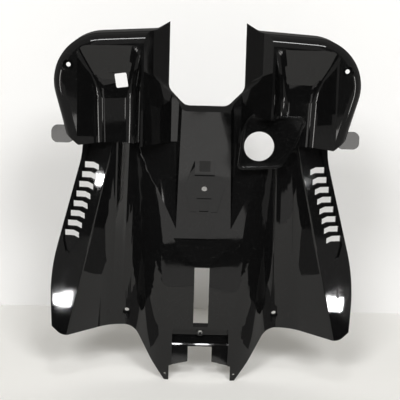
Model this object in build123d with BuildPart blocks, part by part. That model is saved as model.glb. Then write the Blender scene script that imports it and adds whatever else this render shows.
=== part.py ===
"""Inner leg shield of a motor scooter, one thin-walled gloss plastic moulding.

X runs to the rider's right, Y away from the rider and Z up. The skin is the difference
of one form built twice: once at its outer size and once inset by the wall.
"""

import os
from math import cos, radians, sin, tan

from build123d import *

# Wall of the moulding, and how far the solid form reaches back before it is hollowed.
# Rounded edges are plain chamfers inside, this share of the rounding's radius long.
WALL = 2.8
FORM_BACK = 90.0
INSIDE_CUT = 0.75

# Lower body: heights of its two sections, then half widths and depths along each one
FOOT_Z = -20.0
LEDGE_Z = 352.0
BODY_TOP_Z = 430.0
FLAT_X_FOOT = 58.0
FLAT_X_TOP = 94.0
RIDGE_X_FOOT = 212.0
RIDGE_X_TOP = 111.0
RIDGE_PROUD_FOOT = 18.0
RIDGE_PROUD_TOP = -5.0
KNEE_SLOPE = 0.95
CALF_SLOPE = 0.85
BAND_SLOPE = 0.2
BLOCK_X = 240.0
KNEE_R = 55.0
TROUGH_R = 45.0
RIDGE_R = 3.5

# Front outline of the wings, half widths at their heights
WING_TOP_X = 172.5
WING_WAIST_X = 174.0
WING_WAIST_Z = 330.0
WING_WIDE_X = 219.0
WING_WIDE_Z = 158.0
WING_FOOT_X = 214.5
WING_FOOT_Z = 69.5
WING_CORNER = 13.0
FLANGE = 22.0

# Legs below the wings
ARCH_X = 98.0
LEG_X = 70.0
LEG_Z = 26.0
TIP_X = 51.5
TIP_INNER_X = 45.0
TIP_HOLE_X = 50.5
TIP_HOLE_Z = 9.0
TIP_HOLE_R = 1.8

# Spine between two wedge-shaped valleys
SPINE_X_TOP = 34.0
VALLEY_X_TOP = 43.0
VALLEY_DEEP = 24.0
VALLEY_OUT_X = 125.0
VALLEY_FOOT_X = 39.0
VALLEY_FOOT_Z = 228.0
VALLEY_TOP_Z = 410.0
SCOOP_TOP_Z = 213.5
SCOOP_X = 42.0
SCOOP_HIGH = 40.0
SCOOP_DEEP = 5.0

# Shoulder pods
POD_INNER_X = 46.0
POD_TOP_Z = 509.5
POD_PEAK_RISE = 12.0
POD_CORNER_X = 229.0
POD_CORNER_DROP = 10.0
POD_CORNER_R = 66.0
POD_FOOT_X = 188.5
POD_PROUD = 42.0
POD_ROLL_R = 16.0
POD_CORNER_CUT = 14.0
POD_BACK = 30.0

POD_PEAK_Z = POD_TOP_Z + POD_PEAK_RISE
POD_CORNER_Z = POD_TOP_Z - POD_CORNER_DROP
POD_LEAN = (POD_CORNER_X - POD_FOOT_X) / (POD_CORNER_Z - LEDGE_Z)

# Knee bowl scooped into each pod
BOWL_IN_X = 101.0
BOWL_OUT_X = 150.0
BOWL_PROUD = 12.0
BOWL_IN_LEAN = 0.36
BOWL_OUT_LEAN = 0.9
BOWL_BEND_DROP = 73.5
BOWL_RISE = 1.75
BOWL_SWEEP_R = 90.0
BOWL_R = 18.0

BOWL_BEND_Z = POD_TOP_Z - BOWL_BEND_DROP

# Steering column opening
COLUMN_X = 53.5
COLUMN_Z = 402.0
COLUMN_SIDE_Z = 426.0
COLUMN_FLAT_X = 30.0
COLLAR_X = 86.0
COLLAR_Z = 458.0
COLLAR_FLAT_X = 38.0
COLLAR_DROP = 16.0

# Ignition lock panel on the right
LOCK_X = 74.5
LOCK_Z = 351.5
LOCK_R = 21.0
LOCK_RIM_PROUD = 15.0
LOCK_FLOOR_PROUD = 11.5
LOCK_RIM_WIDE = 4.0

# Pocket and set-back wall at the foot of the spine
POCKET_X = 41.0
POCKET_TOP_Z = 78.0
POCKET_LIP_Z = 52.0
POCKET_DEEP = 19.0
POCKET_RISE = 12.0
SILL_BACK = 7.0
SILL_LEAN = 5.5

# Through openings
SLOT_X = 10.7
SLOT_FOOT_Z = 82.0
SLOT_TOP_Z = 171.0
HATCH_X = -118.5
HATCH_DROP = 70.0
HATCH_WIDE = 16.5
HATCH_HIGH = 20.5
NOTCH_X = 17.5
NOTCH_TOP_Z = 50.0
SILL_Z = 28.0

HATCH_Z = POD_TOP_Z - HATCH_DROP

# Louvres
LOUVRE_COUNT = 8
LOUVRE_X = 160.0
LOUVRE_Z = 315.7
LOUVRE_PITCH_X = 3.9
LOUVRE_PITCH_Z = -14.1
LOUVRE_WIDE = 20.0
LOUVRE_HIGH = 9.4
LOUVRE_DROOP = 3.5
LOUVRE_BORDER = 2.0
LOUVRE_SUNK = 5.0
LOUVRE_DEEP = 6.5

# Screws
SCREW_R = 3.1
LOW_SEAT_R = 5.5
TOP_SEAT_R = 7.5
BOSS_WALL = 2.5
LOW_SCREW_X = 109.0
LOW_SCREW_Z = 94.0
LOW_SEAT_BACK = 40.0
TOP_SCREW_X = 189.5
TOP_SCREW_DROP = 48.5
TOP_SEAT_PROUD = 33.0
FOOT_SCREW_Z = 70.0
FOOT_BOSS_R = 5.5
FOOT_BOSS_LONG = 9.0

TOP_SCREW_Z = POD_TOP_Z - TOP_SCREW_DROP

# Side ears
EAR_X = 218.0
EAR_Z = 359.0
EAR_HIGH = 25.0
EAR_WIDE = 32.0
EAR_BACK = 16.0

# Hook seat on the spine
HOOK_HOLE_Z = 286.5
HOOK_HOLE_R = 3.8
HOOK_PAD_Z = 262.0
HOOK_PAD_WIDE = 21.0
HOOK_PAD_HIGH = 21.0
HOOK_PAD_PROUD = 3.0
HOOK_TOP_Z = 327.0
HOOK_WIDE_Z = 289.0
HOOK_FOOT_Z = 253.0
HOOK_TOP_X = 14.8
HOOK_WIDE_X = 29.0
HOOK_FOOT_X = 19.0
HOOK_SUNK = 1.2
TAB_WIDE = 15.4
TAB_GAP = 6.5
TAB_FOOT_Z = 305.0
TAB_GROOVE = 6.0


def inset_line(points, depth):
    """Move a run of section points inward by a wall, keeping the corners mitred."""
    spots = [Vector(*point) for point in points]
    steps = [(b - a).normalized() for a, b in zip(spots, spots[1:])]
    sides = [Vector(-step.Y, step.X) for step in steps]
    moved = []
    for spot, one, two in zip(spots, sides[:1] + sides, sides + sides[-1:]):
        moved.append(spot + (one + two) * (depth / (1 + one.dot(two))))
    return moved


def body_section(share, inset, back):
    """Section points of the lower body, share 0 at its foot and 1 at its top."""
    flat_x = FLAT_X_FOOT + (FLAT_X_TOP - FLAT_X_FOOT) * share
    ridge_x = RIDGE_X_FOOT + (RIDGE_X_TOP - RIDGE_X_FOOT) * share
    ridge = RIDGE_PROUD_FOOT + (RIDGE_PROUD_TOP - RIDGE_PROUD_FOOT) * share
    deep = (ridge_x - flat_x - ridge / CALF_SLOPE) / (1 / KNEE_SLOPE + 1 / CALF_SLOPE)
    half = [
        (flat_x, 0),
        (flat_x + deep / KNEE_SLOPE, deep),
        (ridge_x, -ridge),
        (BLOCK_X, (BLOCK_X - ridge_x) * BAND_SLOPE - ridge),
        (BLOCK_X, back),
    ]
    whole = [(-x, y) for x, y in reversed(half)] + half
    moved = inset_line(whole, inset)
    moved[0] = Vector(moved[0].X, back)
    moved[-1] = Vector(moved[-1].X, back)
    return moved


def facing_plane(one, two, three):
    """Plane through three points, its normal towards the rider."""
    across = three - one
    facing = across.cross(two - one)
    if facing.Y > 0:
        facing = -facing
    return Plane(origin=one, x_dir=across, z_dir=facing)


def body_lines(inset, back):
    """Foot and top points of the flat's edge, trough, ridge and band, at an inset."""
    foot = body_section(0, inset, back)[5:9]
    top = body_section(1, inset, back)[5:9]
    return (
        [Vector(spot.X, spot.Y, FOOT_Z) for spot in foot],
        [Vector(spot.X, spot.Y, BODY_TOP_Z) for spot in top],
    )


def band_plane(inset, back):
    foot, top = body_lines(inset, back)
    return facing_plane(foot[2], top[2], foot[3])


def trough_fill(foot, top, knee, calf, radius):
    """Filling that rounds the bottom of a trough: a prism along its lowest line."""
    way = (top - foot).normalized()
    one = knee.z_dir.cross(way)
    two = way.cross(calf.z_dir)
    half = radians(one.get_angle(two)) / 2
    leg = radius / tan(half)
    left = (-leg * sin(half), -leg * cos(half))
    right = (leg * sin(half), -leg * cos(half))
    plane = Plane(origin=foot - way * 60, x_dir=two - one, z_dir=way)
    with BuildPart() as fill:
        with BuildSketch(plane):
            with BuildLine():
                Polyline(left, (0, 0), right)
                ThreePointArc(left, (0, radius - radius / sin(half)), right)
            make_face()
        extrude(amount=(top - foot).length + 120)
    return fill.part


def body_block(inset, back):
    """Centre slab and two wings with rounded troughs between them, up into the pods."""
    foot, top = body_lines(inset, back)
    knee = facing_plane(foot[0], top[0], foot[1])
    calf = facing_plane(foot[2], top[2], foot[1])
    band = band_plane(inset, back)
    flat = Plane(origin=(0, inset, 0), x_dir=(1, 0, 0), z_dir=(0, -1, 0))
    low = FOOT_Z - inset
    seam = LEDGE_Z + 8
    high = seam - low
    with BuildPart() as half:
        with Locations((0, inset, low)):
            Box(BLOCK_X - 40, back, high, align=(Align.MIN, Align.MIN, Align.MIN))
        split(bisect_by=knee, keep=Keep.BOTTOM)
        with BuildPart(mode=Mode.PRIVATE) as wing:
            with Locations((BLOCK_X - inset, -60, low)):
                Box(BLOCK_X - 40, 60 + back, high, align=(Align.MAX, Align.MIN, Align.MIN))
            split(bisect_by=calf, keep=Keep.BOTTOM)
            split(bisect_by=band, keep=Keep.BOTTOM)
            ridge = [
                edge
                for edge in wing.edges()
                if abs(calf.to_local_coords(edge @ 0.5).Z) < 0.01
                and abs(band.to_local_coords(edge @ 0.5).Z) < 0.01
            ]
            fillet(ridge, radius=RIDGE_R)
        add(wing.part)
        with BuildPart(mode=Mode.PRIVATE) as fill:
            add(trough_fill(foot[1], top[1], knee, calf, TROUGH_R + inset))
            split(bisect_by=flat, keep=Keep.BOTTOM)
            split(bisect_by=band, keep=Keep.BOTTOM)
            split(bisect_by=Plane.XY.offset(low), keep=Keep.TOP)
            split(bisect_by=Plane.XY.offset(seam), keep=Keep.BOTTOM)
        add(fill.part)
        knees = [
            edge
            for edge in half.edges()
            if all(abs((edge @ at).Y - inset) < 0.01 for at in (0, 0.5, 1))
            and edge.bounding_box().size.Z > 5
            and 0.5 * FLAT_X_FOOT < (edge @ 0.5).X < min(foot[1].X, top[1].X)
        ]
        if inset:
            chamfer(knees, length=INSIDE_CUT * 0.4 * KNEE_R)
        else:
            fillet(knees, radius=KNEE_R)
    with BuildPart() as block:
        add(half.part)
        mirror(about=Plane.YZ)
        with Locations((0, inset, seam)):
            Box(
                2 * FLAT_X_TOP,
                back,
                BODY_TOP_Z - seam,
                align=(Align.CENTER, Align.MIN, Align.MIN),
            )
    return block.part


def soft_radius(before, corner, after, share):
    """Radius of a corner rounded over a share of its shorter side."""
    one = Vector(*corner) - Vector(*before)
    two = Vector(*after) - Vector(*corner)
    turn = radians(one.get_angle(two))
    return share * min(one.length, two.length) / tan(turn / 2)


def wing_prism(inset, back):
    """Everything inside the wings' front outline."""
    side = [
        (WING_FOOT_X - 8, FOOT_Z - 10),
        (WING_FOOT_X, WING_FOOT_Z),
        (WING_WIDE_X, WING_WIDE_Z),
        (WING_WAIST_X, WING_WAIST_Z),
        (WING_TOP_X, LEDGE_Z + 14),
        (WING_TOP_X, BODY_TOP_Z + 10),
    ]
    points = side + [(-x, z) for x, z in reversed(side)]
    shares = [0.05, 0.48, 0.35, 0.05]
    corners = zip(side, side[1:], side[2:], shares)
    radii = [0] + [soft_radius(*corner) for corner in corners] + [0]
    with BuildPart() as prism:
        with BuildSketch(Plane.XZ.offset(-back - 10)):
            with BuildLine():
                FilletPolyline(*points, radius=radii + radii[::-1], close=True)
            make_face()
            if inset:
                offset(amount=-inset)
        extrude(amount=back + 60)
    return prism.part


def valley_wedge(inset):
    """Wedge that leaves the spine standing, deepest under the column opening."""
    foot = Vector(VALLEY_FOOT_X, 0, VALLEY_FOOT_Z)
    top = Vector(VALLEY_X_TOP, VALLEY_DEEP, VALLEY_TOP_Z)
    steep = facing_plane(foot, top, Vector(SPINE_X_TOP, 0, VALLEY_TOP_Z))
    gentle = facing_plane(foot, top, Vector(VALLEY_OUT_X, 0, VALLEY_TOP_Z))
    with BuildPart() as wedge:
        with Locations((0, -12, VALLEY_FOOT_Z - 20)):
            Box(
                VALLEY_OUT_X + 50,
                80,
                VALLEY_TOP_Z - VALLEY_FOOT_Z + 80,
                align=(Align.MIN, Align.MIN, Align.MIN),
            )
        split(bisect_by=steep.offset(-inset), keep=Keep.TOP)
        split(bisect_by=gentle.offset(-inset), keep=Keep.TOP)
    return wedge.part


def pod_pillow(inset, back):
    """Rounded pod on the right, with a rolled edge."""
    points = [
        (POD_INNER_X - 10, LEDGE_Z),
        (POD_FOOT_X - POD_CORNER_CUT, LEDGE_Z),
        (POD_FOOT_X + POD_LEAN * POD_CORNER_CUT, LEDGE_Z + POD_CORNER_CUT),
        (POD_CORNER_X, POD_CORNER_Z),
        (POD_INNER_X + 24, POD_TOP_Z),
        (POD_INNER_X - 10, POD_PEAK_Z + 8),
    ]
    with BuildPart() as pillow:
        with BuildSketch(Plane.XZ.offset(-back)):
            with BuildLine():
                FilletPolyline(*points, radius=[0, 0, 0, POD_CORNER_R, 14, 0], close=True)
            make_face()
            if inset:
                offset(amount=-inset, kind=Kind.INTERSECTION)
        extrude(amount=back + POD_PROUD - inset)
        rim = [
            edge
            for edge in pillow.edges().group_by(Axis.Y)[0]
            if (edge @ 0.5).X > POD_INNER_X - 4
            and (edge @ 0.5).Z > LEDGE_Z + POD_CORNER_CUT + 4
        ]
        if inset:
            chamfer(rim, length=INSIDE_CUT * (POD_ROLL_R - inset))
        else:
            fillet(rim, radius=POD_ROLL_R)
    return pillow.part


def bowl_scoop(inset):
    """Scoop for the knee bowl, open below: a swept back wall between two leaning sides."""
    side = [
        (-BOWL_PROUD + 4, LEDGE_Z - 30),
        (-BOWL_PROUD, BOWL_BEND_Z),
        (-90, BOWL_BEND_Z + (90 - BOWL_PROUD) * BOWL_RISE),
    ]
    back = inset_line(side, -inset)
    front_x = -120
    near = 80 - BOWL_PROUD
    far = 10 + BOWL_PROUD
    with BuildPart() as scoop:
        with BuildSketch(Plane.YZ.offset(BOWL_IN_X - 60)):
            with BuildLine():
                FilletPolyline(*back, radius=BOWL_SWEEP_R)
                Polyline(back[2], (front_x, back[2].Y), (front_x, back[0].Y), back[0])
            make_face()
        extrude(amount=BOWL_OUT_X - BOWL_IN_X + 120)
        with BuildSketch(Plane.XY.offset(LEDGE_Z - 40)):
            with BuildLine():
                Polyline(
                    (BOWL_IN_X - BOWL_IN_LEAN * near - inset, -80),
                    (BOWL_IN_X + BOWL_IN_LEAN * far - inset, 10),
                    (BOWL_OUT_X - BOWL_OUT_LEAN * far + inset, 10),
                    (BOWL_OUT_X + BOWL_OUT_LEAN * near + inset, -80),
                    close=True,
                )
            make_face()
        extrude(amount=300, mode=Mode.INTERSECT)
        corners = [
            edge
            for edge in scoop.edges()
            if (edge @ 0.5).Y > -70 and edge.bounding_box().size.Z > 8
        ]
        if inset:
            chamfer(corners, length=INSIDE_CUT * BOWL_R / 3)
        else:
            fillet(corners, radius=BOWL_R)
    return scoop.part


def leaf_wedge(inset):
    """Sloping inner side of the pod, facing the spine."""
    with BuildPart() as wedge:
        with BuildSketch(Plane.XY.offset(LEDGE_Z - 20)):
            points = [(POD_INNER_X - 60, 12), (POD_INNER_X + 3, 12), (90, -46), (112, -78)]
            moved = inset_line(points, inset)
            with BuildLine():
                Polyline(*moved, (POD_INNER_X - 60, -78), close=True)
            make_face()
        extrude(amount=260)
    return wedge.part


def collar_funnel(inset):
    """Funnel round the steering column opening."""
    rear = [(COLUMN_X, 560), (COLUMN_X, COLUMN_SIDE_Z), (COLUMN_FLAT_X, COLUMN_Z)]
    near = [
        (COLLAR_X, 560),
        (COLLAR_X, COLLAR_Z),
        (COLLAR_FLAT_X, COLUMN_Z - COLLAR_DROP),
    ]
    with BuildPart() as funnel:
        for reach, side in ((-24, rear), (50, near)):
            points = side + [(-x, z) for x, z in reversed(side)]
            with BuildSketch(Plane.XZ.offset(reach - inset)):
                with BuildLine():
                    FilletPolyline(*points, radius=[0, 16, 16, 16, 16, 0], close=True)
                make_face()
                if inset:
                    offset(amount=inset)
        loft(ruled=True)
    return funnel.part


def lock_outline(grow):
    """Teardrop outline of the ignition lock panel, on the front plane."""
    with BuildSketch(Plane.XZ) as outline:
        with BuildLine():
            FilletPolyline(
                (LOCK_X - 26, LOCK_Z - 29),
                (LOCK_X - 20, LOCK_Z + 24),
                (LOCK_X - 11, LOCK_Z + 42),
                (LOCK_X + 61, LOCK_Z + 39),
                (LOCK_X + 46, LOCK_Z),
                (LOCK_X + 29, LOCK_Z - 26),
                radius=[3, 30, 10, 4, 50, 10],
                close=True,
            )
        make_face()
        if grow:
            offset(amount=grow)
    return outline.sketch


def foot_pocket(inset):
    """Pocket with a sloping floor, and the set-back wall under it."""
    with BuildPart() as pocket:
        with BuildSketch(Plane.YZ.offset(-POCKET_X - inset)):
            with BuildLine():
                Polyline(
                    (-40, POCKET_TOP_Z),
                    (POCKET_DEEP, POCKET_TOP_Z),
                    (POCKET_DEEP, POCKET_LIP_Z + POCKET_RISE),
                    (SILL_BACK, POCKET_LIP_Z),
                    (SILL_BACK - SILL_LEAN, SILL_Z - 8),
                    (SILL_BACK - SILL_LEAN, FOOT_Z - 20),
                    (-40, FOOT_Z - 20),
                    close=True,
                )
            make_face()
            if inset:
                offset(amount=inset, kind=Kind.INTERSECTION)
        extrude(amount=2 * (POCKET_X + inset))
    return pocket.part


def louvre_field(grow, back):
    """Everything in front of and behind the louvres, inside their long border."""
    half = LOUVRE_WIDE / 2 + LOUVRE_BORDER
    last = LOUVRE_COUNT - 0.5
    foot_x = LOUVRE_X + last * LOUVRE_PITCH_X
    foot_z = LOUVRE_Z + last * LOUVRE_PITCH_Z
    top_x = LOUVRE_X - 2.2 * LOUVRE_PITCH_X
    top_z = LOUVRE_Z - 2.2 * LOUVRE_PITCH_Z
    with BuildPart() as field:
        with BuildSketch(Plane.XZ.offset(-back)):
            with BuildLine():
                FilletPolyline(
                    (top_x - half, top_z),
                    (foot_x - half, foot_z),
                    (foot_x + 1.8 * LOUVRE_PITCH_X - 2, foot_z + 1.9 * LOUVRE_PITCH_Z),
                    (foot_x + half - 1, foot_z),
                    (top_x + half, top_z),
                    radius=[0, 12, 4, 12, 0],
                    close=True,
                )
            make_face()
            if grow:
                offset(amount=grow, kind=Kind.INTERSECTION)
        extrude(amount=back + 60)
    return field.part


def louvre_groove(inset, back):
    """Sunk channel the louvres sit in, its floor parallel to the wing's band."""
    with BuildPart() as groove:
        add(louvre_field(inset, back))
        split(bisect_by=band_plane(LOUVRE_SUNK + inset, back), keep=Keep.TOP)
    return groove.part


def louvre_floor(back):
    """Thick floor of the channel, which the slots leave as slats."""
    with BuildPart() as floor:
        add(louvre_field(0.5, back))
        split(bisect_by=band_plane(LOUVRE_SUNK + WALL / 2, back), keep=Keep.BOTTOM)
        split(bisect_by=band_plane(LOUVRE_SUNK + LOUVRE_DEEP, back), keep=Keep.TOP)
    return floor.part


def louvre_slots(back):
    """Row of slots, each bent down at its inner end."""
    half = LOUVRE_WIDE / 2
    rise = LOUVRE_HIGH / 2
    with BuildPart() as slots:
        with BuildSketch(Plane.XZ.offset(-back)):
            for number in range(LOUVRE_COUNT):
                x = LOUVRE_X + number * LOUVRE_PITCH_X
                z = LOUVRE_Z + number * LOUVRE_PITCH_Z
                with BuildLine(Location((x, z))):
                    Polyline(
                        (half, rise),
                        (-half / 4, rise),
                        (-half, rise - LOUVRE_DROOP),
                        (-half, -rise - LOUVRE_DROOP),
                        (-half / 4, -rise),
                        (half, -rise),
                        close=True,
                    )
                make_face()
        extrude(amount=back + 60)
    return slots.part


def spine_scoop(inset):
    """Thumb-shaped hollow where the spine runs out: a slanted cylinder's end."""
    radius = (SCOOP_X**2 + SCOOP_DEEP**2) / (2 * SCOOP_DEEP)
    end = Plane(
        origin=(0, SCOOP_DEEP, SCOOP_TOP_Z),
        x_dir=(1, 0, 0),
        z_dir=(0, -SCOOP_DEEP, -SCOOP_HIGH),
    )
    with BuildPart() as scoop:
        with BuildSketch(end.offset(-inset)):
            with Locations((0, radius)):
                Circle(radius + inset)
            with Locations((0, -inset)):
                Rectangle(
                    2 * SCOOP_X + 40,
                    3 * SCOOP_DEEP + inset,
                    align=(Align.CENTER, Align.MIN),
                    mode=Mode.INTERSECT,
                )
        extrude(amount=2 * SCOOP_HIGH)
    return scoop.part


def hook_seat(inset):
    """Shallow tapered panel for the luggage hook, with a groove round its tab."""
    half = [(HOOK_TOP_X, HOOK_TOP_Z), (HOOK_WIDE_X, HOOK_WIDE_Z), (HOOK_FOOT_X, HOOK_FOOT_Z)]
    outer_x = TAB_WIDE / 2 + TAB_GAP
    with BuildPart() as seat:
        with BuildSketch(Plane.XZ.offset(-HOOK_SUNK - inset)):
            with BuildLine():
                Polyline(*half, *[(-x, z) for x, z in reversed(half)], close=True)
            make_face()
            if inset:
                offset(amount=inset, kind=Kind.INTERSECTION)
        extrude(amount=40)
        with BuildSketch(Plane.XZ.offset(-TAB_GROOVE - inset)):
            with BuildLine():
                Polyline(
                    (outer_x, HOOK_TOP_Z),
                    (outer_x, TAB_FOOT_Z),
                    (-outer_x, TAB_FOOT_Z),
                    (-outer_x, HOOK_TOP_Z),
                    (-TAB_WIDE / 2, HOOK_TOP_Z),
                    (-TAB_WIDE / 2, TAB_FOOT_Z + TAB_GAP),
                    (TAB_WIDE / 2, TAB_FOOT_Z + TAB_GAP),
                    (TAB_WIDE / 2, HOOK_TOP_Z),
                    close=True,
                )
            make_face()
            if inset:
                offset(amount=inset, kind=Kind.INTERSECTION)
        extrude(amount=40)
    return seat.part


def form(inset, back):
    """The whole form as a solid block, inset by a wall."""
    with BuildPart() as block:
        add(body_block(inset, back))
        add(wing_prism(inset, back), mode=Mode.INTERSECT)
        with BuildPart(mode=Mode.PRIVATE) as pod:
            add(pod_pillow(inset, back))
            add(bowl_scoop(inset), mode=Mode.SUBTRACT)
            add(leaf_wedge(inset), mode=Mode.SUBTRACT)
        for cut in (valley_wedge(inset), louvre_groove(inset, back)):
            add(cut, mode=Mode.SUBTRACT)
            add(mirror(cut, about=Plane.YZ, mode=Mode.PRIVATE), mode=Mode.SUBTRACT)
        add(pod.part)
        add(mirror(pod.part, about=Plane.YZ, mode=Mode.PRIVATE))
        add(collar_funnel(inset), mode=Mode.SUBTRACT)
        with BuildPart(mode=Mode.PRIVATE) as lock_pad:
            add(lock_outline(LOCK_RIM_WIDE - inset).moved(Location((0, back, 0))))
            extrude(amount=back + LOCK_RIM_PROUD - inset, dir=(0, -1, 0))
        add(lock_pad.part)
        with BuildPart(mode=Mode.PRIVATE) as lock_cut:
            add(lock_outline(inset).moved(Location((0, inset - LOCK_FLOOR_PROUD, 0))))
            extrude(amount=90, dir=(0, -1, 0))
        add(lock_cut.part, mode=Mode.SUBTRACT)
        add(foot_pocket(inset), mode=Mode.SUBTRACT)
        add(spine_scoop(inset), mode=Mode.SUBTRACT)
        add(hook_seat(inset), mode=Mode.SUBTRACT)
    return block.part


# Screw bosses, kept half a wall behind the front so that only their seats show there
with BuildPart() as low_bosses:
    with Locations(Plane.XZ.offset(-LOW_SEAT_BACK - WALL)):
        with Locations((LOW_SCREW_X, LOW_SCREW_Z)):
            Cylinder(LOW_SEAT_R + BOSS_WALL, 60, align=(Align.CENTER, Align.CENTER, Align.MIN))
    add(body_block(WALL / 2, FORM_BACK), mode=Mode.INTERSECT)
    mirror(about=Plane.YZ)

with BuildPart() as top_bosses:
    with Locations(Plane.XZ.offset(TOP_SEAT_PROUD - WALL)):
        with Locations((TOP_SCREW_X, TOP_SCREW_Z)):
            Cylinder(TOP_SEAT_R + BOSS_WALL, 60, align=(Align.CENTER, Align.CENTER, Align.MIN))
    add(pod_pillow(WALL / 2, FORM_BACK), mode=Mode.INTERSECT)
    mirror(about=Plane.YZ)

# Everything that is cut away once the skin is made
with BuildPart() as cuts:
    # Pods cut level behind
    with BuildSketch(Plane.XZ.offset(-POD_BACK)):
        with Locations((0, LEDGE_Z + 150)):
            Rectangle(600, 300)
    extrude(amount=-FORM_BACK)

    # Wings left with a return flange
    with BuildSketch(Plane.YZ.offset(165)):
        with BuildLine():
            Polyline(
                (FLANGE - 8, FOOT_Z - 20),
                (FLANGE - 8, WING_FOOT_Z),
                (FLANGE + 10, LEDGE_Z),
                (FORM_BACK + 20, LEDGE_Z),
                (FORM_BACK + 20, FOOT_Z - 20),
                close=True,
            )
        make_face()
    extrude(amount=100)

    # Holes on the right, then the sunk seats for their screw heads
    with BuildSketch(Plane.XZ.offset(-FORM_BACK - 5)):
        with Locations((LOW_SCREW_X, LOW_SCREW_Z), (TOP_SCREW_X, TOP_SCREW_Z)):
            Circle(SCREW_R)
        with Locations((TIP_HOLE_X, TIP_HOLE_Z)):
            Circle(TIP_HOLE_R)
    extrude(amount=FORM_BACK + 100)
    for reach, x, z, radius in (
        (-LOW_SEAT_BACK, LOW_SCREW_X, LOW_SCREW_Z, LOW_SEAT_R),
        (TOP_SEAT_PROUD, TOP_SCREW_X, TOP_SCREW_Z, TOP_SEAT_R),
    ):
        with Locations(Plane.XZ.offset(reach)):
            with Locations((x, z)):
                Cylinder(radius, 80, align=(Align.CENTER, Align.CENTER, Align.MIN))
    add(louvre_slots(FORM_BACK))

    # Foot outline: wing cut level with a rounded corner, leg tapering to its tip
    with BuildSketch(Plane.XZ.offset(-FORM_BACK - 5)):
        with BuildLine():
            FilletPolyline(
                (WING_FOOT_X + 80, WING_FOOT_Z + 80),
                (WING_FOOT_X - WING_CORNER, WING_FOOT_Z),
                (ARCH_X, WING_FOOT_Z + 4),
                (LEG_X, LEG_Z),
                (TIP_X, 0),
                (TIP_X, -80),
                (WING_FOOT_X + 80, -80),
                radius=[0, 18, 24, 30, 0, 0, 0],
                close=True,
            )
        make_face()
    extrude(amount=FORM_BACK + 100)
    mirror(about=Plane.YZ)

    # Steering column opening, slot, hatch, lock bore and the holes on the centre line
    with BuildSketch(Plane.XZ.offset(-FORM_BACK - 5)):
        with BuildLine():
            side = [(COLUMN_X, 600), (COLUMN_X, COLUMN_SIDE_Z), (COLUMN_FLAT_X, COLUMN_Z)]
            points = side + [(-x, z) for x, z in reversed(side)]
            FilletPolyline(*points, radius=[0, 16, 16, 16, 16, 0], close=True)
        make_face()
        with Locations((0, (SLOT_FOOT_Z + SLOT_TOP_Z) / 2)):
            Rectangle(2 * SLOT_X, SLOT_TOP_Z - SLOT_FOOT_Z)
        with Locations((HATCH_X, HATCH_Z)):
            RectangleRounded(HATCH_WIDE, HATCH_HIGH, 2, rotation=8)
        with Locations((LOCK_X, LOCK_Z)):
            Circle(LOCK_R)
        with Locations((0, HOOK_HOLE_Z)):
            Circle(HOOK_HOLE_R)
        with Locations((0, FOOT_SCREW_Z)):
            Circle(SCREW_R)
    extrude(amount=FORM_BACK + 100)

    # Gap between the legs: a sill that rises to its notch
    with BuildSketch(Plane.XZ.offset(-FORM_BACK - 5)):
        with BuildLine():
            Polyline(
                (TIP_INNER_X, -80),
                (TIP_INNER_X, SILL_Z - 6),
                (NOTCH_X, SILL_Z),
                (NOTCH_X, NOTCH_TOP_Z),
                (-NOTCH_X, NOTCH_TOP_Z),
                (-NOTCH_X, SILL_Z),
                (-TIP_INNER_X, SILL_Z - 6),
                (-TIP_INNER_X, -80),
                close=True,
            )
        make_face()
        with Locations((0, -50)):
            Rectangle(2 * TIP_X + 4, 100)
    extrude(amount=FORM_BACK + 100)

with BuildPart() as moulding:
    add(form(0, FORM_BACK))
    add(form(WALL, FORM_BACK + 8), mode=Mode.SUBTRACT)
    floor = louvre_floor(FORM_BACK)
    add([low_bosses.part, top_bosses.part, floor, mirror(floor, about=Plane.YZ, mode=Mode.PRIVATE)])

    # Screw boss standing in the foot pocket
    with Locations(Plane.XZ.offset(-POCKET_DEEP - 1)):
        with Locations((0, FOOT_SCREW_Z)):
            Cylinder(FOOT_BOSS_R, FOOT_BOSS_LONG, align=(Align.CENTER, Align.CENTER, Align.MIN))

    # Ears on the outer sides of the pods
    with BuildSketch(Plane.XZ.offset(-EAR_BACK)):
        with Locations((EAR_X - EAR_WIDE / 2, EAR_Z), (EAR_WIDE / 2 - EAR_X, EAR_Z)):
            RectangleRounded(EAR_WIDE, EAR_HIGH, 9)
    extrude(amount=WALL)

    # Hook pad on the spine, a frame open in the middle
    with BuildSketch(Plane.XZ.offset(-HOOK_SUNK - 0.5)):
        with Locations((0, HOOK_PAD_Z)):
            Rectangle(HOOK_PAD_WIDE, HOOK_PAD_HIGH)
            Rectangle(HOOK_PAD_WIDE - 8, HOOK_PAD_HIGH - 5, mode=Mode.SUBTRACT)
    extrude(amount=HOOK_PAD_PROUD + 0.5)
    add(cuts.part, mode=Mode.SUBTRACT)

# Stand the moulding on its tips, centred over the origin
box = moulding.part.bounding_box()
with BuildPart() as leg_shield:
    with Locations((0, -box.center().Y, -box.min.Z)):
        add(moulding.part)

leg_shield.part.label = "leg_shield"
os.makedirs("parts", exist_ok=True)
export_step(leg_shield.part, "parts/leg_shield.step")
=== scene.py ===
# %% [markdown]
# # Scooter leg shield
# The inner leg shield is one glossy black moulding that stands between the rider's knees and the
# front wheel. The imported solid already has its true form, so this lesson is about light and
# surface: where the camera stands, what the gloss mirrors, and how the plastic itself looks.

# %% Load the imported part
from math import cos, radians, sin

import bpy
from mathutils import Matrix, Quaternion, Vector


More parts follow.
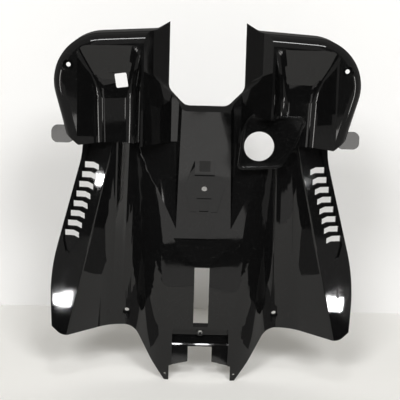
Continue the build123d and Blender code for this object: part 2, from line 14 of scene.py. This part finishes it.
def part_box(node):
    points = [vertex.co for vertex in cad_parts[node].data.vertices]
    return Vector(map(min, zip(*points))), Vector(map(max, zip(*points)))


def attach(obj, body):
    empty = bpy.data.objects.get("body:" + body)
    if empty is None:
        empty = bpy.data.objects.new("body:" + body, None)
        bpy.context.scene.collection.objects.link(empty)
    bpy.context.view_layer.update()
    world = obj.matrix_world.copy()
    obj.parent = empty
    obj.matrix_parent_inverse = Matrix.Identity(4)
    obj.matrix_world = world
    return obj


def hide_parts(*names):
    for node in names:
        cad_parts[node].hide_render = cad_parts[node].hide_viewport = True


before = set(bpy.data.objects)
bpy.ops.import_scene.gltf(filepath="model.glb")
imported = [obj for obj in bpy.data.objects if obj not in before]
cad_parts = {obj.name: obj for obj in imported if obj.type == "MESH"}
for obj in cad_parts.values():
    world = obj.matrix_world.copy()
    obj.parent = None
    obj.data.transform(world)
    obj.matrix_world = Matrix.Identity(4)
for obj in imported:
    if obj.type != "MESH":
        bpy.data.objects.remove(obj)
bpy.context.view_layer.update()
shield_low, shield_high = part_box("leg_shield")
print("shield size", [round(v, 4) for v in shield_high - shield_low])

# %% [markdown]
# ## Camera
# The photograph looks slightly down on the upright shield, with a long lens and a small tilt. The
# aim point sits on the spine at mid height; distance and lens are chosen together, so that the
# perspective of the pods against the legs is right. A shorter lens from nearer would fill the
# frame too, but would widen whatever stands nearest.

# %% Place the camera
AIM = Vector((-0.0057, 0, 0.2707))
REACH = 1.6
ELEVATION = radians(12)
TURN = radians(-1.0)
TILT = radians(1.6)
LENS = 101.4
SENSOR = 36

away = Vector((sin(TURN) * cos(ELEVATION), -cos(TURN) * cos(ELEVATION), sin(ELEVATION)))
bpy.ops.object.select_all(action="DESELECT")
bpy.ops.object.camera_add(location=AIM + away * REACH)
camera = bpy.context.object
level = (-away).to_track_quat("-Z", "Y")
camera.rotation_euler = (level @ Quaternion((0, 0, 1), TILT)).to_euler()
camera.data.lens = LENS
camera.data.sensor_width = SENSOR
bpy.context.scene.camera = camera
bpy.context.scene.view_settings.view_transform = "Standard"
print("camera at", [round(v, 3) for v in camera.location])

# %% [markdown]
# ## Wall
# The wall behind is plain and pale. It catches the shield's soft shadow, which is what shows
# through the slot. The rolled edges would mirror it as grey borders, so it is kept out of the
# gloss. Seen from its own back it is clear, which leaves the views from behind open.

# %% Mix the wall paint
WALL_TONE = 0.80
WALL_ROUGH = 0.8

wall_paint = bpy.data.materials.new("pale_wall")
wall_paint.use_nodes = True
wall_nodes, wall_links = wall_paint.node_tree.nodes, wall_paint.node_tree.links
wall_shader = wall_nodes["Principled BSDF"]
wall_shader.inputs["Base Color"].default_value = (WALL_TONE, WALL_TONE, WALL_TONE, 1)
wall_shader.inputs["Roughness"].default_value = WALL_ROUGH
facing = wall_nodes.new("ShaderNodeNewGeometry")
clear = wall_nodes.new("ShaderNodeBsdfTransparent")
one_sided = wall_nodes.new("ShaderNodeMixShader")
wall_links.new(facing.outputs["Backfacing"], one_sided.inputs["Fac"])
wall_links.new(wall_shader.outputs["BSDF"], one_sided.inputs[1])
wall_links.new(clear.outputs["BSDF"], one_sided.inputs[2])
wall_links.new(one_sided.outputs["Shader"], wall_nodes["Material Output"].inputs["Surface"])
print("wall tone", WALL_TONE)

# %% Stand the wall up
TABLE_BACK = 0.345
WALL_HALF = 0.55
WALL_HIGH = 0.75
FACING = (radians(90), 0, 0)

bpy.ops.object.select_all(action="DESELECT")
bpy.ops.mesh.primitive_plane_add(size=1, location=(0, TABLE_BACK, WALL_HIGH / 2), rotation=FACING)
wall = bpy.context.object
wall.name = "wall"
wall.scale = (2 * WALL_HALF, WALL_HIGH, 1)
bpy.ops.object.transform_apply(location=True, rotation=True, scale=True)
wall.data.materials.append(wall_paint)
wall.visible_glossy = False
print("wall", [round(v, 2) for v in wall.dimensions])

# %% [markdown]
# ## Table and ground
# A black gloss surface shows little of itself and much of its surroundings. The photograph's greys
# are the mirror image of a small pale table: the spine and the legs look down on it, and slopes
# that look past its edges go dark. One wide sheet would turn the whole shield grey, so the table
# is small, and the wider ground of the same colour, just below it, is only there for the camera.

# %% Lay the table
TABLE_FRONT = -0.47
TABLE_HALF = 0.36
TABLE_TONE = (0.84, 0.835, 0.815, 1)
TABLE_ROUGH = 0.65
GROUND_HALF = 3.0
GROUND_DROP = 0.0003

table_paint = bpy.data.materials.new("pale_table")
table_paint.use_nodes = True
table_shader = table_paint.node_tree.nodes["Principled BSDF"]
table_shader.inputs["Base Color"].default_value = TABLE_TONE
table_shader.inputs["Roughness"].default_value = TABLE_ROUGH


def lay_sheet(name, half, front, height):
    bpy.ops.object.select_all(action="DESELECT")
    bpy.ops.mesh.primitive_plane_add(size=1, location=(0, (TABLE_BACK + front) / 2, height))
    sheet = bpy.context.object
    sheet.name = name
    sheet.scale = (2 * half, TABLE_BACK - front, 1)
    bpy.ops.object.transform_apply(location=True, rotation=True, scale=True)
    sheet.data.materials.append(table_paint)
    return sheet


table = lay_sheet("table", TABLE_HALF, TABLE_FRONT, 0)
ground = lay_sheet("ground", GROUND_HALF, -GROUND_HALF, -GROUND_DROP)
ground.visible_glossy = False
print("table", [round(v, 2) for v in table.dimensions])

# %% [markdown]
# ## Room
# The world is the room's own light, dim and slightly warm. Where the camera, the gloss or anything
# clear looks straight at it, a plain pale backdrop takes its place. The background is then pale
# by its colour, with no more light on the shield.

# %% Paint the room
ROOM_TONE = 0.80
ROOM_TINT = (1, 1, 0.99)
ROOM_GLOW = 0.26
GLOW_TINT = (1, 0.94, 0.82)

world = bpy.data.worlds.new("room")
bpy.context.scene.world = world
world.use_nodes = True
room_nodes, room_links = world.node_tree.nodes, world.node_tree.links
backdrop = room_nodes["Background"]
backdrop.inputs["Color"].default_value = (*[ROOM_TONE * part for part in ROOM_TINT], 1)
room_light = room_nodes.new("ShaderNodeBackground")
room_light.inputs["Color"].default_value = (*[ROOM_GLOW * part for part in GLOW_TINT], 1)
ray = room_nodes.new("ShaderNodeLightPath")
either = room_nodes.new("ShaderNodeMixShader")
seen = room_nodes.new("ShaderNodeMath")
seen_too = room_nodes.new("ShaderNodeMath")
seen.operation = seen_too.operation = "MAXIMUM"
room_links.new(ray.outputs["Is Camera Ray"], seen.inputs[0])
room_links.new(ray.outputs["Is Glossy Ray"], seen.inputs[1])
room_links.new(seen.outputs["Value"], seen_too.inputs[0])
room_links.new(ray.outputs["Is Transmission Ray"], seen_too.inputs[1])
room_links.new(seen_too.outputs["Value"], either.inputs["Fac"])
room_links.new(room_light.outputs["Background"], either.inputs[1])
room_links.new(backdrop.outputs["Background"], either.inputs[2])
room_links.new(either.outputs["Shader"], room_nodes["World Output"].inputs["Surface"])
print("room tone", ROOM_TONE)

# %% [markdown]
# ## Panels in the gloss
# A studio hides white and black cards just outside the picture, to draw the form of a glossy
# thing. A picture of a studio could stand in for them, but single panels can be placed one by one,
# each where a face of the shield looks. They glow with a plain tone. They are hidden from the
# camera, light nothing and cast no shadow, so they only show as tones in the gloss.

# %% Make a panel
FLAT = (0, 0, 0)
SIDEWAYS = (radians(90), 0, radians(90))
PANEL_TINT = (1, 0.98, 0.95, 1)
BLACK = (0, 0, 0, 1)


def put_panel(name, place, turn, wide, high, tone):
    bpy.ops.object.select_all(action="DESELECT")
    bpy.ops.mesh.primitive_plane_add(size=1, location=place, rotation=turn)
    panel = bpy.context.object
    panel.name = name
    panel.scale = (wide, high, 1)
    bpy.ops.object.transform_apply(location=False, rotation=False, scale=True)
    panel.visible_camera = False
    panel.visible_diffuse = False
    panel.visible_shadow = False
    cloth = bpy.data.materials.new(name + "_cloth")
    cloth.use_nodes = True
    glow = cloth.node_tree.nodes["Principled BSDF"]
    glow.inputs["Base Color"].default_value = BLACK
    glow.inputs["Specular IOR Level"].default_value = 0
    glow.inputs["Emission Color"].default_value = PANEL_TINT
    glow.inputs["Emission Strength"].default_value = tone
    panel.data.materials.append(cloth)


print("panel tint", PANEL_TINT)

# %% [markdown]
# What lies ahead does most of the work. The calves look at a shade on the table beside them, the
# ears at two bright patches far off, the rolled edges at a tall strip on each side, and the flat
# lock panel at a dark patch. The table runs out in a tongue, and two lighter strips straight ahead
# give the spine its grey. All else there is a dark floor, with a dim one round it.

# %% Put panels ahead of the shield
EAR_SHIFT = 0.052

for side in (-1, 1):
    put_panel("calf_shade", (side * 0.27, -0.085, 0.0005), FLAT, wide=0.20, high=0.13, tone=0.20)
    ear_place = (side * 0.518 + EAR_SHIFT, -2.31, -0.005)
    put_panel("ear_light", ear_place, FLAT, wide=0.2, high=0.8, tone=6)
    put_panel("side_strip", (side * 1.33, -0.87, 0.28), SIDEWAYS, wide=0.17, high=0.62, tone=12)
put_panel("lock_dark", (0.28, -2.45, -0.006), FLAT, wide=0.26, high=1.1, tone=0.01)
put_panel("table_tongue", (0, -0.545, 0.0005), FLAT, wide=0.40, high=0.15, tone=0.75)
put_panel("near_strip", (0, -1.25, -0.01), FLAT, wide=0.26, high=0.7, tone=1.1)
put_panel("far_strip", (0, -2.4, -0.01), FLAT, wide=0.26, high=1.6, tone=1.6)
put_panel("dark_floor", (0, -0.75, -0.02), FLAT, wide=1.5, high=2.3, tone=0.01)
put_panel("outer_floor", (0, -1.0, -0.04), FLAT, wide=7, high=7, tone=0.35)
print("ear lights shifted by", EAR_SHIFT)

# %% [markdown]
# The rest of the room is dim, with a lighter middle to its front wall for the slopes that look up.
# Behind the shield, a dark screen keeps the rolled rims black, and a pale floor with a band above
# it draws the shield's hollow side in the views from behind.

# %% Put panels round the room
put_panel("front_middle", (0, -3.4, 2.0), FACING, wide=1.8, high=2.9, tone=0.40)
put_panel("front_wall", (0, -3.5, 1.0), FACING, wide=7, high=6, tone=0.05)
put_panel("left_wall", (-2.6, -1.2, 1.0), SIDEWAYS, wide=6, high=6, tone=0.30)
put_panel("right_wall", (2.6, -1.2, 1.0), SIDEWAYS, wide=6, high=6, tone=0.30)
put_panel("ceiling", (0, -1.0, 3.2), FLAT, wide=7, high=7, tone=0.30)
put_panel("back_screen", (0, 2.4, 1.0), FACING, wide=7, high=6, tone=0.08)
put_panel("back_floor", (0, 1.35, -0.01), FLAT, wide=1.2, high=1.9, tone=0.9)
put_panel("back_band", (0, 2.38, 0.12), FACING, wide=2.4, high=0.36, tone=0.8)

# %% [markdown]
# ## Lamps
# Two wide lamps light the table, and are kept out of the gloss. What the gloss does show is small:
# two short strips overhead, mirrored in the foot pocket, a long strip for the rolled rims, and two
# cards a side whose mirror images are the white patches on the wings' bands. The cards shine in a
# narrow cone, which keeps them off the knees beside the bands.

# %% Hang the lamps
LAMP_HIGH = 2.3
OPEN_SPREAD = 180
CARD_SPREAD = 20
CARD_SHIFT = 0.008


def hang_lamp(name, place, aim, wide, deep, power, spread=OPEN_SPREAD):
    bpy.ops.object.light_add(type="AREA", location=place)
    lamp = bpy.context.object
    lamp.name = name
    lamp.data.shape = "RECTANGLE"
    lamp.data.size = wide
    lamp.data.size_y = deep
    lamp.data.energy = power
    lamp.rotation_euler = (Vector(aim) - Vector(place)).to_track_quat("-Z", "Y").to_euler()
    lamp.data.spread = radians(spread)
    lamp.visible_camera = False
    return lamp


for side in (-1, 1):
    wide_lamp = hang_lamp("wide_lamp", (side * 0.9, -2.9, LAMP_HIGH), (0, 0.2, 0.2),
                          wide=0.9, deep=0.9, power=70)
    wide_lamp.visible_glossy = False
    hang_lamp("strip_lamp", (side * 0.05, -0.70, LAMP_HIGH), (side * 0.05, -0.6, 0),
              wide=0.04, deep=0.35, power=2.5)
    hang_lamp("low_card", (side * 0.44 + CARD_SHIFT, -0.445, 0.066), (side * 0.199, 0, 0.126),
              wide=0.025, deep=0.020, power=0.003, spread=CARD_SPREAD)
    hang_lamp("high_card", (side * 0.42 + CARD_SHIFT, -0.53, 0.29), (side * 0.141, 0, 0.298),
              wide=0.015, deep=0.012, power=0.0012, spread=CARD_SPREAD)
rim_lamp = hang_lamp("rim_lamp", (0, -1.3, 2.0), (0, 0, 0.5), wide=1.6, deep=0.2, power=24)
rim_lamp.visible_diffuse = False
print("lamps at", LAMP_HIGH, "m")

# %% [markdown]
# ## The moulding
# The form could be modelled again by hand, but the solid is exact, so a copy of it is used. The
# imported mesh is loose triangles. The copy is joined, and its flat faces are made whole again, so
# that later steps meet real faces and edges instead of a net of slivers.

# %% Join a copy of the solid
JOIN_GAP = 1e-5
FLAT_BEND = 0.4

shell = bpy.data.objects.new("shield_moulding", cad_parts["leg_shield"].data.copy())
bpy.context.scene.collection.objects.link(shell)
bpy.ops.object.select_all(action="DESELECT")
shell.select_set(True)
bpy.context.view_layer.objects.active = shell
bpy.ops.object.mode_set(mode="EDIT")
bpy.ops.mesh.select_all(action="SELECT")
bpy.ops.mesh.remove_doubles(threshold=JOIN_GAP)
bpy.ops.mesh.dissolve_limited(angle_limit=radians(FLAT_BEND))
bpy.ops.mesh.select_all(action="DESELECT")
bpy.ops.object.mode_set(mode="OBJECT")
print("joined faces", len(shell.data.polygons))

# %% [markdown]
# ## Rim of the lock panel
# On the real moulding the rim round the ignition lock is a small bead, and thin lines of light are
# what draw it. The solid has a square step there. Its front edges are found by their place and by
# the angle between their two faces, and a bevel of a few steps rounds them.

# %% Round the rim
RIM_FRONT = -0.0154
RIM_SLACK = 0.0002
RIM_LEFT, RIM_RIGHT = 0.040, 0.145
RIM_LOW, RIM_TOP = 0.305, 0.405
RIM_CORNER = 60
RIM_ROUND = 0.0014
RIM_STEPS = 6


def edge_bends(mesh):
    faces_at = {}
    for face in mesh.polygons:
        for key in face.edge_keys:
            faces_at.setdefault(key, []).append(face)
    for edge in mesh.edges:
        pair = faces_at.get(edge.key, [])
        if len(pair) == 2:
            ends = [mesh.vertices[i].co for i in edge.vertices]
            yield edge, ends, pair, pair[0].normal.angle(pair[1].normal, 0)


rim_edges = 0
for edge, ends, pair, bend in edge_bends(shell.data):
    on_rim = all(abs(end.y - RIM_FRONT) < RIM_SLACK and RIM_LEFT < end.x < RIM_RIGHT
                 and RIM_LOW < end.z < RIM_TOP for end in ends)
    if on_rim and bend > radians(RIM_CORNER):
        edge.select = True
        rim_edges += 1
bpy.ops.object.mode_set(mode="EDIT")
bpy.ops.mesh.select_mode(type="EDGE")
bpy.ops.mesh.bevel(offset=RIM_ROUND, segments=RIM_STEPS, affect="EDGES", clamp_overlap=True)
bpy.ops.object.mode_set(mode="OBJECT")
print("rim edges rounded", rim_edges)

# %% [markdown]
# ## Creases
# The skin is shaded smooth except over real creases. Some creases are gentler than the steps along
# a rolled edge, so one angle can't tell them apart. They are told by the width of the two faces
# that meet there, or, for the scoop under the spine, by its place.

# %% Smooth the skin and keep the creases
CREASE = 17.4
GENTLE = 5
BROAD = 0.010
SCOOP_HALF = 0.044
SCOOP_LOW = 0.170
SCOOP_TOP = 0.216

bpy.ops.object.shade_smooth_by_angle(angle=radians(CREASE))
mesh = shell.data
longest = [max((mesh.vertices[a].co - mesh.vertices[b].co).length for a, b in face.edge_keys)
           for face in mesh.polygons]
gentle = 0
for edge, ends, pair, bend in edge_bends(mesh):
    if bend > radians(GENTLE):
        at_scoop = all(abs(end.x) < SCOOP_HALF and SCOOP_LOW < end.z < SCOOP_TOP for end in ends)
        if at_scoop or min(face.area / longest[face.index] for face in pair) > BROAD:
            edge.use_edge_sharp = True
            gentle += 1
print("gentle creases", gentle)

# %% [markdown]
# Weighted normals let each large flat decide the shading along its borders, which keeps the
# reflections straight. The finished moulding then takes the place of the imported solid.

# %% Weigh the normals and fit the moulding
weighting = shell.modifiers.new("weighting", "WEIGHTED_NORMAL")
weighting.mode = "FACE_AREA"
weighting.keep_sharp = True
bpy.ops.object.modifier_apply(modifier="weighting")
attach(shell, "root")
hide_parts("leg_shield")
print("moulding faces", len(shell.data.polygons))

# %% [markdown]
# ## Gloss black plastic
# The real surface is a near-black polymer with a polished skin. It isn't perfect: the skin draws in
# slightly as it cools, so reflections waver, and handling leaves faint dull marks and a little
# dust. One black tone would look like glass, so those three are noise patterns, each at its own
# scale. The first is a long soft swell that feeds a bump.

# %% Mix the plastic and let its skin waver
plastic = bpy.data.materials.new("gloss_black_plastic")
plastic.use_nodes = True
nodes, links = plastic.node_tree.nodes, plastic.node_tree.links
skin = nodes["Principled BSDF"]
skin.inputs["IOR"].default_value = 1.42

place = nodes.new("ShaderNodeTexCoord")

flow = nodes.new("ShaderNodeTexNoise")
flow.inputs["Scale"].default_value = 11
flow.inputs["Detail"].default_value = 1
flow_bump = nodes.new("ShaderNodeBump")
flow_bump.inputs["Strength"].default_value = 0.22
flow_bump.inputs["Distance"].default_value = 0.004
links.new(place.outputs["Object"], flow.inputs["Vector"])
links.new(flow.outputs["Fac"], flow_bump.inputs["Height"])
links.new(flow_bump.outputs["Normal"], skin.inputs["Normal"])
print("bump strength", round(flow_bump.inputs["Strength"].default_value, 2))

# %% [markdown]
# The dull marks are a finer pattern. Only its higher parts count, and they make the skin a little
# rougher there, so that a reflection softens for a few millimetres and comes back.

# %% Add the dull marks
marks = nodes.new("ShaderNodeTexNoise")
marks.inputs["Scale"].default_value = 38
marks.inputs["Detail"].default_value = 6
dull = nodes.new("ShaderNodeMapRange")
dull.inputs["From Min"].default_value = 0.45
dull.inputs["From Max"].default_value = 0.75
dull.inputs["To Min"].default_value = 0.03
dull.inputs["To Max"].default_value = 0.08
links.new(place.outputs["Object"], marks.inputs["Vector"])
links.new(marks.outputs["Fac"], dull.inputs["Value"])
links.new(dull.outputs["Result"], skin.inputs["Roughness"])
print("roughest", round(dull.inputs["To Max"].default_value, 2))

# %% [markdown]
# Dust is the finest. A colour ramp turns the tips of a very small pattern into grey specks and
# leaves the rest near black.

# %% Add the dust and coat the moulding
POLYMER = (0.0028, 0.0028, 0.0029, 1)
SPECK = (0.03, 0.03, 0.029, 1)

specks = nodes.new("ShaderNodeTexNoise")
specks.inputs["Scale"].default_value = 900
dust = nodes.new("ShaderNodeValToRGB")
dust.color_ramp.elements[0].position = 0.62
dust.color_ramp.elements[0].color = POLYMER
dust.color_ramp.elements[1].position = 0.80
dust.color_ramp.elements[1].color = SPECK
links.new(place.outputs["Object"], specks.inputs["Vector"])
links.new(specks.outputs["Fac"], dust.inputs["Fac"])
links.new(dust.outputs["Color"], skin.inputs["Base Color"])

shell.data.materials.clear()
shell.data.materials.append(plastic)
print("plastic nodes", len(nodes))
